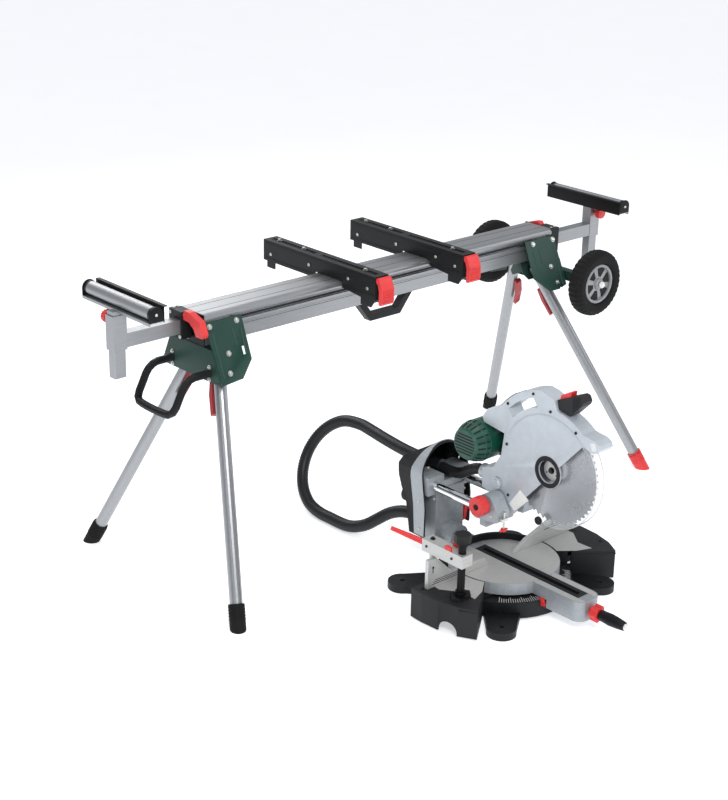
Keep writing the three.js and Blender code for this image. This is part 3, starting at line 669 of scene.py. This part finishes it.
def knob_ribs(frame_of):
    """Grip ribs round a height knob and the cap in its face."""
    count = 14

    def build(bm):
        for k in range(count):
            angle = 2 * math.pi * k / count
            x = HEIGHT_KNOB[0] + 17 * math.cos(angle)
            z = HEIGHT_KNOB[1] + 17 * math.sin(angle)
            post(bm, frame_of(x, 57, z), frame_of(x, 75, z), 2.1, 10)
        spin(bm, "y", HEIGHT_KNOB, [(0.5, 75.6), (9, 75.6), (9, 77), (0.5, 77)], 24, frame_of)
    return build


def leg_line(right, front):
    """A leg's top in metres, the direction down it, and its length."""
    x, foot_x = (RIGHT_LEG_X, 906) if right else (LEFT_LEG_X, -907)
    side = -1 if front else 1
    top = stand(x, side * 50, PIVOT_Z)
    leg = stand(foot_x, side * 377, 0) - top
    return top, leg.normalized(), leg.length


def foot_rings(top, down, length, r):
    def build(bm):
        for k in range(5):
            start = length - 0.068 + 0.009 * k
            post(bm, top + down * start, top + down * (start + 0.0035), r, 28)
    return build


def latch_teeth(top, down, side):
    """Finger ribs on a latch lever and the pin it turns on."""
    inward = Vector((0, side, 0))
    inward = (inward - down * inward.dot(down)).normalized()
    across = down.cross(inward)

    def build(bm):
        for k in range(6):
            middle = top + down * (0.124 + 0.0075 * k) + inward * 0.0405
            post(bm, middle - across * 0.0105, middle + across * 0.0105, 1.6, 10)
        pin = top + down * 0.069 + inward * 0.027
        post(bm, pin - across * 0.0125, pin + across * 0.0125, 3, 12)
    return build


def rail_grooves(bm):
    """Dark shadow lines of the extruded profile, on both faces and the top."""
    ends = (RAIL_LEFT + 4, 702)
    for z, height in ((808, 7), (786, 1.2)):
        for y in ((-62.35, -61.9), (61.9, 62.35)):
            block(bm, ends, y, (z, z + height), stand)
    for y in (-24, 24):
        block(bm, ends, (y - 0.6, y + 0.6), (839.9, 840.3), stand)


def cradle_parts(frame_of):
    """The black lip behind a roller and the cheeks at its ends."""
    lip = [(-972, 884), (-969, 881), (-969, 926), (-959, 926), (-959, 929), (-972, 929)]
    cheek = [*arc(*ROLLER_AXIS, 23, 0, 180, 14), (-1020, 886), (-970, 886)]
    thick = 3

    def build(bm):
        slab(bm, "y", lip, ROLLER_Y - CRADLE_REACH, ROLLER_Y + CRADLE_REACH, frame_of)
        for start in (ROLLER_Y - CRADLE_REACH, ROLLER_Y + CRADLE_REACH - thick):
            slab(bm, "y", cheek, start, start + thick, frame_of)
    return build


def post_stem(frame_of):
    """The square post and the tray on top of it."""
    tray = [(-1020, 878), (-1017, 878), (-1017, 884), (-972.4, 884), (-972.4, 887), (-1020, 887)]

    def build(bm):
        block(bm, (-1037, -999), (10, 40), (684, 884), frame_of)
        slab(bm, "y", tray, ROLLER_Y - CRADLE_REACH, ROLLER_Y + CRADLE_REACH, frame_of)
    return build


def cradle_screws(frame_of):
    x, z = ROLLER_AXIS

    def build(bm):
        for out in (-1, 1):
            y = ROLLER_Y + out * CRADLE_REACH
            place = frame_of(x, y, z)
            cap_screw(bm, place, frame_of(x, y + out, z) - place, 4.5)
    return build


def end_details(end, frame_of):
    """Everything that both ends of the stand have."""
    support = f"{end}_support_post"
    stood_in = (support,)
    piece(f"{end}_bracket_bolts", bracket_bolts(frame_of), "zinc_bolt", "stand")
    piece(f"{end}_bracket_beads", bracket_ribs(frame_of), "green_coat", "stand")
    piece(f"{end}_clamp_bolts", clamp_bolts(frame_of), "zinc_bolt", "stand")
    piece(f"{end}_lever_ribs", lever_ribs(frame_of), "red_plastic", f"{end}_extension_lever")
    piece(f"{end}_roller_caps", roller_caps(frame_of), "black_plastic", f"{end}_roller")
    piece(f"{end}_knob_ribs", knob_ribs(frame_of), "red_plastic", f"{end}_height_knob")
    piece(f"{end}_cradle", cradle_parts(frame_of), "black_coat", support, 0.0006, stood_in)
    piece(f"{end}_post_stem", post_stem(frame_of), "anodised_aluminium", support, 0.001, stood_in)
    piece(f"{end}_cradle_screws", cradle_screws(frame_of), "zinc_bolt", support)
    piece(f"{end}_leg_pivots", leg_pivot_bolts(frame_of), "zinc_bolt", "stand")


def arm_pieces(end, x):
    piece(f"{end}_arm_screws", arm_details(x), "zinc_bolt", f"{end}_saw_arm")
    piece(f"{end}_arm_slot_edges", arm_slot_edges(x), "black_coat", f"{end}_saw_arm", 0.0004)
    piece(f"{end}_arm_ribs", arm_ribs(x), "black_coat", f"{end}_saw_arm", 0.0005)
    piece(f"{end}_arm_lever_grip", lever_grip(x), "red_plastic", f"{end}_arm_lever", 0.0008)


def wheel_pieces(name, side):
    wheel = f"{name}_wheel"
    piece(f"{name}_tyre_tread", tyre_piece(side), "tyre_rubber", wheel, 0.0006, (f"{name}_tyre",))
    piece(f"{name}_rim_wedges", rim_piece(side), "grey_plastic", wheel, 0.001, (f"{name}_rim",))
    piece(f"{name}_rim_window_shade", rim_window_shade(side), "painted_shade_black", wheel)
    piece(f"{name}_hub_cap", hub_caps(side), "white_mark", wheel)


def leg_pieces(name, right, front):
    """Foot rings and latch details. The right front leg is the one with the red screwed foot."""
    top, down, length = leg_line(right, front)
    if right and front:
        look, body, r = "red_plastic", "adjustable_foot", 24.4
    else:
        look, body, r = "foot_rubber", f"{name}_leg", 25.2
    piece(f"{name}_foot_rings", foot_rings(top, down, length, r), look, body, 0.0006)
    teeth = latch_teeth(top, down, 1 if front else -1)
    piece(f"{name}_latch_teeth", teeth, "dark_red_plastic", f"{name}_latch")


def stand_details():
    end_details("left", stand)
    end_details("right", turned)
    piece("rail_grooves", rail_grooves, "painted_shade_black", "stand")
    arm_pieces("left", -224)
    arm_pieces("right", 148)
    wheel_pieces("front", -1)
    wheel_pieces("back", 1)
    for corner in CORNERS:
        leg_pieces(corner, corner.startswith("right"), corner.endswith("front"))


# ------------------------------------------------------------------ saw details
def polar(r, degrees):
    """A (y, z) place round the blade's centre."""
    angle = math.radians(degrees)
    return r * math.cos(angle), BLADE_Z + r * math.sin(angle)


def toothed_blade(bm):
    teeth = 54
    r = 157.4
    tooth = ((0, 0), (0.7, 1.6), (3.5, 2.4), (7.6, 4.4), (7.2, 5.6), (3.6, 6.3))
    outline = [polar(r - depth, 360 * k / teeth + step) for k in range(teeth) for depth, step in tooth]
    slab(bm, "x", outline, -1.1, 1.1)


def blade_hub(bm):
    spin(bm, "x", BLADE_AXIS, [(1, -10), (29, -8), (29.5, -5), (29.5, -1.2), (1, -1.2)], 40)
    spin(bm, "x", BLADE_AXIS, [(1, 1.2), (29.5, 1.2), (29.5, 8), (9.8, 10), (9.8, 25.8), (1, 25.8)], 40)


def blade_bolt(bm):
    hex_bolt(bm, saw(-10, 0, BLADE_Z), NEAR, 7.5)
    for k in range(3):
        y, z = polar(20, 90 + 120 * k)
        post(bm, saw(-9.2, y, z), saw(-8.7, y, z), 2.6, 12)


def arbor_ring(bm):
    spin(bm, "x", BLADE_AXIS, [(33.2, -27), (36, -28.2), (45.5, -27.4), (45.5, -25.9), (33.2, -25.9)], 56)


def guard_rim(bm):
    """The rolled edges of the clear guard's two side walls."""
    path = [saw(-14.4, *polar(165.2, 130 + 3.1 * k)) for k in range(48)]
    swept(bm, path, 1.5, 8)
    swept(bm, [p + Vector((0.0288 * SAW_SCALE, 0, 0)) for p in path], 1.5, 8)


def guard_roller(bm):
    spin(bm, "x", (28, 267), [(3.5, -23), (11.6, -23), (12, -22), (12, -17.2), (11.4, -17), (3.5, -17)], 28)


def grip_handle(bm):
    profile = [(0.5, -199.4), (13.4, -199.4), (15.2, -204), (17.2, -236), (15.4, -262), (12.6, -284),
               (10.4, -287), (0.5, -287)]
    spin(bm, "y", GRIP_AXIS, profile, 32)


def grip_tip(bm):
    spin(bm, "y", GRIP_AXIS, [(0.5, -287), (9.8, -287), (9.2, -289.6), (5, -291.3), (0.5, -291.3)], 28)


def grip_collar(bm):
    """A six-lobed collar, and the neck that joins it to the arm."""
    points = []
    for k in range(36):
        angle = 2 * math.pi * k / 36
        r = 21.4 + 3.4 * math.cos(6 * angle)
        points.append((GRIP_AXIS[0] + r * math.cos(angle), GRIP_AXIS[1] + r * math.sin(angle)))
    slab(bm, "y", points, -199.4, -174.6)
    spin(bm, "y", GRIP_AXIS, [(0.5, -175), (10, -175), (10, -165.6), (0.5, -165.6)], 24)


def table_tops(bm):
    """Machined top faces of the round table and its front arm, split by the insert."""
    for side in (-1, 1):
        round_part = [(side * u, v) for u, v in arc(0, TABLE_Y, 158.5, -82, 82, 30)]
        slab(bm, "z", round_part, *PLATE_LEVEL)
        corner = [(side * u, v) for u, v in arc(14, -134, 28, -90, 0, 8)]
        arm_part = [(side * 22, 4), (side * 22, -134), *corner[1:-1], (side * 43, 14)]
        slab(bm, "z", arm_part, *PLATE_LEVEL)


def fixed_plates(bm):
    """Machined faces of the base on each side of the round table."""
    table_edge = arc(0, TABLE_Y, 165, 204, 168, 12)[:-1]
    outline = [(-274, 202), (-278, 147), (-240, 96), (-243, 44), (-196, 62), *table_edge, (-165, 202)]
    for side in (-1, 1):
        slab(bm, "z", [(side * u, v) for u, v in outline], *PLATE_LEVEL)


def scale_ticks(bm):
    """Fine marks of the mitre scale on the sloping ring round the table, every fifth one longer."""
    outer = 192
    for k in range(-25, 26):
        inner = 176 if k % 5 else 170
        angle = math.radians(-90 + 2 * k)
        across = Vector((-math.sin(angle), math.cos(angle), 0)) * 0.45
        out = Vector((math.cos(angle), math.sin(angle), 0))
        ring = []
        for r, u in ((inner, -1), (outer, -1), (outer, 1), (inner, 1)):
            height = 50 + (197 - r) * 5 / 31
            ring.append(Vector((0, TABLE_Y, height)) + out * r + across * u)
        loft(bm, [[saw(*p) for p in ring], [saw(*(p + Vector((0, 0, 0.35)))) for p in ring]])


def scale_pointer(bm):
    slab(bm, "x", [(-40, 36), (-22, 34), (-14, 46), (-22, 58), (-36, 56)], -50, -45.2)
    slab(bm, "x", [(-46, 44), (-30, 40), (-30, 52)], -51, -48)


def insert_gap_shade(bm):
    # painted shade: thin dark strips along the gaps of the table insert
    for side in (-1, 1):
        block(bm, sorted((side * 6.4, side * 8.4)), (-117, 245), (TABLE_Z - 0.1, TABLE_Z + 0.6))
        block(bm, sorted((side * 17.5, side * 19)), (-130, 258), (TABLE_Z - 0.1, TABLE_Z + 0.4))


def fence_plates(bm):
    """The fence's two upright plates, with the gap for the blade between them."""
    low = TABLE_Z + 0.4
    left = [(-305, low), (-62, low), (-80, 118), (-210, 118), (-272, 180), (-305, 180)]
    right = [(40, low), (305, low), (305, 172), (240, 172), (190, 153), (92, 122)]
    slab(bm, "y", left, 166, 178)
    slab(bm, "y", right, 166, 178)


def fence_bow(bm):
    """The bow behind the table that joins the two plates."""
    outer = arc(0, TABLE_Y, 133, 6, 174, 30)
    inner = arc(0, TABLE_Y, 122, 174, 6, 30)
    slab(bm, "z", outer + inner, TABLE_Z + 0.4, 112)


def fence_groove_shade(bm):
    """Painted shade in the grooves along the fence's face and in the keyhole near its left end: thin dark
    strips and a dark disc.
    """
    face = (165.6, 166.2)
    for k in range(3):
        block(bm, (-289 + 6 * k, -190 + 22 * k), face, (101 + 5.5 * k, 102.8 + 5.5 * k))
        block(bm, (166 + 14 * k, 288), face, (129 + 7 * k, 130.8 + 7 * k))
    spin(bm, "y", (-286, 154), [(0.5, face[0]), (4, face[0]), (4, face[1]), (0.5, face[1])], 16)
    block(bm, (-287.6, -284.4), face, (138, 153))


def hood_bands(bm):
    """A silver band that wraps the hood's front edge, wide at the sides and narrow over the top."""
    front_edge = [(96, 400.4), (190, 400.4), (276, 414), (300, 418.4), (352, 423), (371, 431)]
    rear_edge = [(96, 440), (190, 447), (276, 462), (300, 463), (352, 446), (371, 433.5)]

    def reach(edge, z):
        for (z0, y0), (z1, y1) in zip(edge, edge[1:]):
            if z <= z1:
                return y0 + (y1 - y0) * (z - z0) / (z1 - z0)
        return edge[-1][1]

    heights = (100, 130, 160, 190, 220, 250, 276)
    places = [(-1, 0, z) for z in heights]
    for degrees in range(172, 7, -8):
        angle = math.radians(degrees)
        places.append((math.cos(angle), math.sin(angle), heights[-1]))
    places += [(1, 0, z) for z in heights[::-1]]
    rings = []
    for across, up, base in places:
        z = base + 95 * up
        y0 = reach(front_edge, z)
        y1 = reach(rear_edge, z)
        section = ((94.6, y0), (96.2, y0), (96.2, y1), (94.6, y1))
        rings.append([saw(across * r, y, base + up * r) for r, y in section])
    loft(bm, rings)


def hood_fittings(bm):
    """The collars of the side port and the hose port, the side port's lid, and slots in the hood's back."""
    for axis, r, y0, y1 in ((SIDE_PORT, 24, 470, 512), (HOSE_PORT, 27, 476, 489.6)):
        profile = [(r - 5, y0), (r, y0), (r, y1 - 3), (r - 2, y1), (r - 5, y1)]
        spin(bm, "y", axis, profile, 32)
    spin(bm, "y", SIDE_PORT, [(0.5, 500), (19.5, 500), (19.5, 504), (0.5, 504)], 28)
    for k in range(5):
        z = 206 + 9 * k
        block(bm, (10, 66), (484 + 1.9 * k, 492 + 4.8 * k), (z, z + 3.5))


def hood_screws(bm):
    for x in (-62, 62):
        for y, z in ((424, 305), (395.8, 214)):
            cap_screw(bm, saw(x, y, z), Vector((0, -1, 0)), 4.2)
    for y, z in ((420, 120), (424, 205)):
        cap_screw(bm, saw(-96.2, y, z), NEAR, 4.2)


def guard_screws(bm):
    for r, degrees in ((219, 72), (220, 44), (176, 89), (170, 122), (158, 12), (182, -40)):
        y, z = polar(r, degrees)
        cap_screw(bm, saw(GUARD_FACE, y, z), NEAR, 4.4)


def guard_panel(bm):
    """The raised ring of the guard's side and the boss that holds the pivot."""
    band = [*arc(*BLADE_AXIS, 164, 24, 140, 24), *arc(*BLADE_AXIS, 160.5, 140, 24, 24)]
    slab(bm, "x", band, GUARD_FACE - 1.3, GUARD_FACE + 0.2)
    spin(bm, "x", (184, 330), [(0.5, -33.5), (10, -33.5), (12, -31), (0.5, -31)], 24)


def guard_plate(bm):
    """A plain plate where the real guard has a printed label."""
    slab(bm, "x", [(62, 318), (96, 338), (134, 283), (112, 268)], GUARD_FACE - 0.6, GUARD_FACE + 0.1)


def guard_nose(bm):
    """A small bright plate at the front of the guard."""
    slab(bm, "x", [(-166, 541), (-150, 536), (-140, 556), (-158, 561)], GUARD_FACE - 1, GUARD_FACE + 0.1)


def hose_socket(bm):
    spin(bm, "y", HOSE_SOCKET, [(12.8, 240), (21, 244), (22, 250), (22, 262), (19.6, 264), (12.8, 264)], 32)


def motor_vent_shade(bm):
    """Painted shade of the vent slots: thin dark strips round the tapered near end of the motor and over its
    far end, and across its near face.
    """
    y, z = MOTOR_AXIS
    centre = Vector((0, y, z))
    slots = (((-76, 48.2), (-55, 56.6)), ((-50, 57.6), (-38, 60)), ((70, 60), (114, 60)))
    section = ((-2.2, 0), (2.2, 0), (2.2, 0.9), (-2.2, 0.9))
    for k in range(13):
        angle = math.radians(50 + 19 * k)
        out = Vector((0, math.cos(angle), math.sin(angle)))
        across = Vector((0, -math.sin(angle), math.cos(angle)))
        for slot in slots:
            rings = []
            for x, r in slot:
                middle = centre + out * (r - 0.3)
                ring = [middle + across * u + out * v for u, v in section]
                rings.append([saw(x, p.y, p.z) for p in ring])
            loft(bm, rings)
    for k in range(7):
        up = 9 * k - 27
        half = math.sqrt(38 ** 2 - up ** 2)
        block(bm, (-82.7, -81.8), (y - half, y + half), (z + up - 1.8, z + up + 1.8))


def motor_seams(bm):
    """Raised rings where the motor's shells meet."""
    for x in (-35.5, 46, 62):
        spin(bm, "x", MOTOR_AXIS, [(59.6, x - 1.4), (61, x - 1), (61, x + 1), (59.6, x + 1.4)], 56)


def rear_grip(bm):
    """The dark soft grip on the rear of the carrying loop."""
    inner = arc(*BLADE_AXIS, 228.6, 54, 37, 8)
    outer = arc(*BLADE_AXIS, 232.5, 37, 54, 8)
    slab(bm, "x", inner + outer, -24, 24)


def handle_ribs(bm):
    """Grip ribs on both sides of the handle."""
    for k in range(5):
        y = -68 - 5 * k
        z = 664 + 2.3 * k
        for x in (-19.4, 19.4):
            post(bm, saw(x, y, z - 44 + 2 * k), saw(x, y, z - 4), 1.1, 8)


def knob_face(bm):
    spin(bm, "x", LOCK_KNOB, [(11, -113.4), (22, -113.4), (24, -111.8), (11, -111.8)], 40)


def knob_hub(bm):
    # painted shade: a dark disc in the knob's sunken middle
    spin(bm, "x", LOCK_KNOB, [(0.5, -112.9), (8.5, -112.9), (8.5, -111.6), (0.5, -111.6)], 28)


def depth_stop(bm):
    """The block and the screw that limit the depth of cut."""
    block(bm, (-70, -46), (116, 131), (243, 252))
    post(bm, saw(*DEPTH_SCREW, 214), saw(*DEPTH_SCREW, 266), 3.2, 14)
    post(bm, saw(*DEPTH_SCREW, 266), saw(*DEPTH_SCREW, 271), 6, 6)


def depth_wing(bm):
    post(bm, saw(*DEPTH_SCREW, 212), saw(*DEPTH_SCREW, 220), 9, 8)
    block(bm, (-74, -42), (118.5, 123.5), (213, 218))


def carriage_screws(bm):
    for y, z in ((150, 252), (204, 246), (204, 276)):
        cap_screw(bm, saw(-80, y, z), NEAR, 4)
        cap_screw(bm, saw(80, y, z), FAR, 4)


def clamp_cams(bm):
    for x in (-284, -252):
        slab(bm, "x", [(102, 226), (126, 226), (130, 234), (120, 240), (104, 237)], x, x + 6)


def clamp_pins(bm):
    for y in (98, 196):
        post(bm, saw(-287, y, 208), saw(-243, y, 208), 4, 14)
    hex_bolt(bm, saw(-265, 192, 226), UP, 6)


def base_screws(bm):
    for x, y in ((-300, 60), (-310, 180), (300, 60), (310, 180)):
        cap_screw(bm, saw(x, y, TABLE_Z), UP, 5)


def base_ribs(bm):
    """Moulded edges along the skirts of the two wings."""
    for side in (-1, 1):
        front = [(side * x, y) for x, y in ((-196, 57.5), (-285, -11.6), (-313.6, 37.6))]
        swept(bm, [saw(x, y, TABLE_Z - 9) for x, y in front], 1.4, 8)


def saw_details():
    for name, build, look, body, bevel, replaces in (
        ("blade_teeth", toothed_blade, "blade_steel", "blade", 0, ("blade",)),
        ("blade_hub", blade_hub, "machined_aluminium", "blade", 0, ("blade",)),
        ("blade_bolt", blade_bolt, "black_bolt", "blade", 0, ()),
        ("arbor_ring", arbor_ring, "black_plastic", "head", 0, ()),
        ("guard_rim", guard_rim, "scale_plate", "lower_guard", 0, ()),
        ("guard_roller", guard_roller, "black_plastic", "lower_guard", 0, ()),
        ("grip_handle", grip_handle, "black_plastic", "mitre_grip", 0, ("mitre_grip",)),
        ("grip_collar", grip_collar, "red_plastic", "mitre_grip", 0.001, ("mitre_grip",)),
        ("grip_tip", grip_tip, "scale_plate", "mitre_grip", 0, ()),
        ("table_tops", table_tops, "machined_aluminium", "turntable", 0, ()),
        ("fixed_plates", fixed_plates, "machined_aluminium", "saw_base", 0, ()),
        ("scale_ticks", scale_ticks, "white_mark", "saw_base", 0, ()),
        ("scale_pointer", scale_pointer, "red_plastic", "turntable", 0.0006, ()),
        ("insert_edges", insert_gap_shade, "painted_shade_black", "turntable", 0, ()),
        ("fence_plates", fence_plates, "machined_aluminium", "saw_base", 0.0008, ("fence",)),
        ("fence_bow", fence_bow, "black_plastic", "saw_base", 0.0012, ("fence",)),
        ("fence_groove_shade", fence_groove_shade, "painted_shade_black", "saw_base", 0, ()),
        ("hood_bands", hood_bands, "cast_aluminium", "tilt_column", 0, ()),
        ("hood_fittings", hood_fittings, "black_plastic", "tilt_column", 0.0006, ()),
        ("hood_screws", hood_screws, "zinc_bolt", "tilt_column", 0, ()),
        ("guard_screws", guard_screws, "black_bolt", "head", 0, ()),
        ("guard_panel", guard_panel, "silver_coat", "head", 0.0004, ()),
        ("guard_plate", guard_plate, "white_mark", "head", 0, ()),
        ("guard_nose", guard_nose, "scale_plate", "head", 0, ()),
        ("hose_socket", hose_socket, "silver_coat", "head", 0, ()),
        ("motor_vent_shade", motor_vent_shade, "painted_shade_black", "head", 0, ()),
        ("motor_seams", motor_seams, "green_plastic", "head", 0, ()),
        ("rear_grip", rear_grip, "black_plastic", "head", 0.001, ()),
        ("handle_ribs", handle_ribs, "black_plastic", "head", 0, ()),
        ("knob_face", knob_face, "red_plastic", "slide_lock_knob", 0, ()),
        ("knob_hub", knob_hub, "painted_shade_black", "slide_lock_knob", 0, ()),
        ("depth_stop", depth_stop, "zinc_bolt", "carriage", 0.0004, ()),
        ("depth_wing", depth_wing, "red_plastic", "carriage", 0.0008, ()),
        ("carriage_screws", carriage_screws, "zinc_bolt", "carriage", 0, ()),
        ("clamp_cams", clamp_cams, "red_plastic", "clamp_arm", 0.001, ()),
        ("clamp_pins", clamp_pins, "black_bolt", "clamp_arm", 0, ()),
        ("base_screws", base_screws, "black_bolt", "saw_base", 0, ()),
        ("base_ribs", base_ribs, "black_plastic", "saw_base", 0, ()),
    ):
        piece(name, build, look, body, bevel, replaces)


def floor():
    bm = bmesh.new()
    bmesh.ops.create_grid(bm, x_segments=2, y_segments=2, size=45)
    mesh = bpy.data.meshes.new("floor")
    bm.to_mesh(mesh)
    bm.free()
    obj = bpy.data.objects.new("floor", mesh)
    bpy.context.collection.objects.link(obj)
    pale = surface("pale_floor", (0.86, 0.87, 0.88), 0.7, vary=0.02, grain=3, bump=0.03, fine=120)
    shader = pale.node_tree.nodes["Principled BSDF"]
    shader.inputs["Emission Color"].default_value = (0.97, 0.98, 1, 1)
    shader.inputs["Emission Strength"].default_value = 0.52
    mesh.materials.append(pale)


camera()
dress_cad()
dust_hose()
stand_details()
saw_details()
floor()
light()
